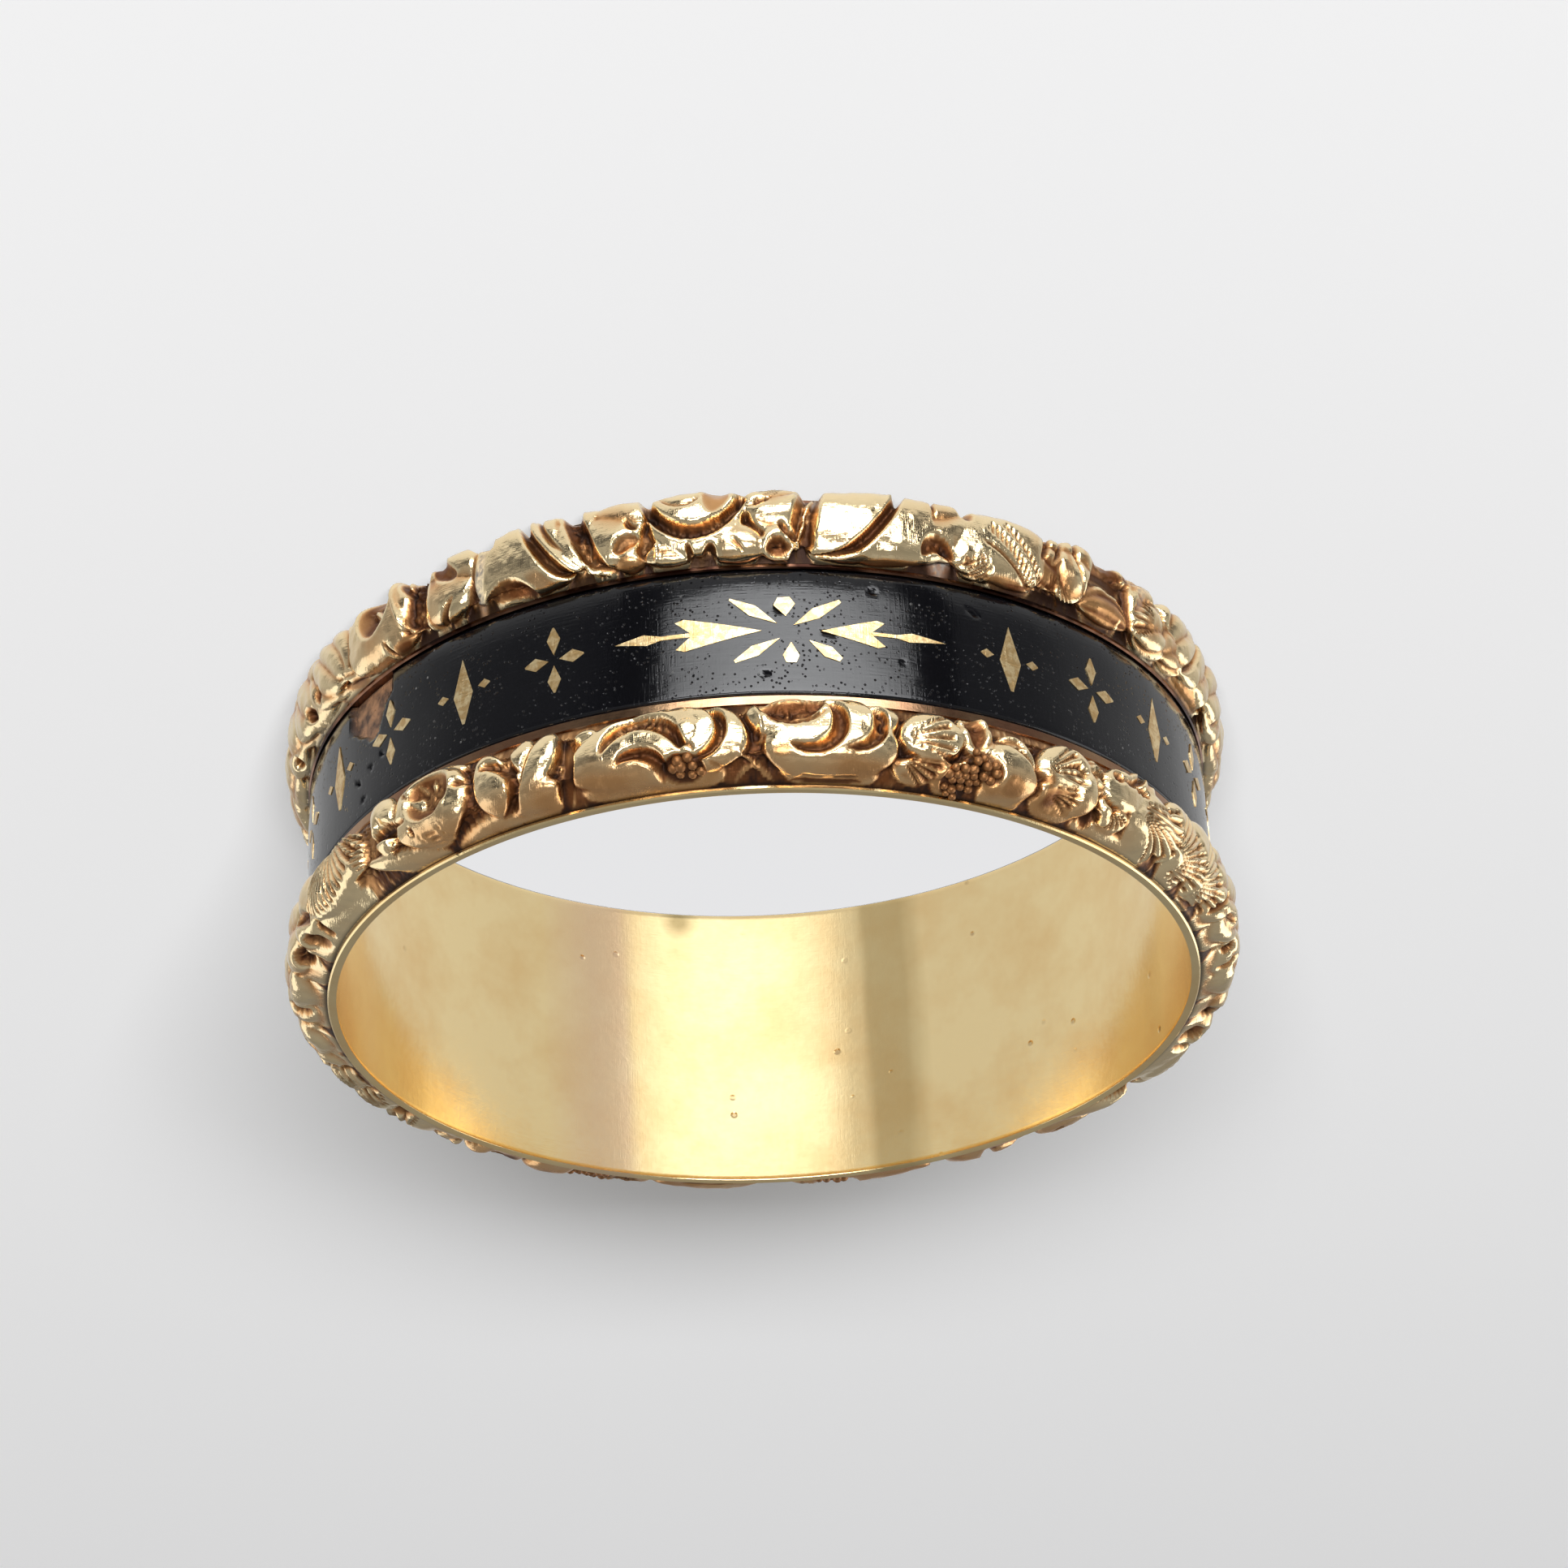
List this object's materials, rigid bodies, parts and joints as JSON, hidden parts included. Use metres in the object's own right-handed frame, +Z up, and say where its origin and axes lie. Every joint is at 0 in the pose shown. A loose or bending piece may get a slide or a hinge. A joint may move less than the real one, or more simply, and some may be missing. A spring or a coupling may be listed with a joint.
{
  "type": "mourning ring",
  "caption": "Hollow gold band ring with two chased floral borders and a black enamel band carrying a gold star, arrows and small blossoms.",
  "frame": {"origin": "middle of the lower edge, on the axis of the finger hole, in the plane that the ring rests on", "axes": "+Z up along the finger hole; -Y towards the star figure, which the picture shows in front"},
  "size_m": [0.02, 0.0202, 0.0067],
  "materials": {
    "chased_gold": "yellow gold, bright on the crests, brown in the recesses, satin inside",
    "black_enamel": "opaque black enamel, glossy with fine pits and scratches"
  },
  "bodies": {
    "root": {"gold_ring": "chased_gold", "enamel_band": "black_enamel"}
  },
  "joints": []
}
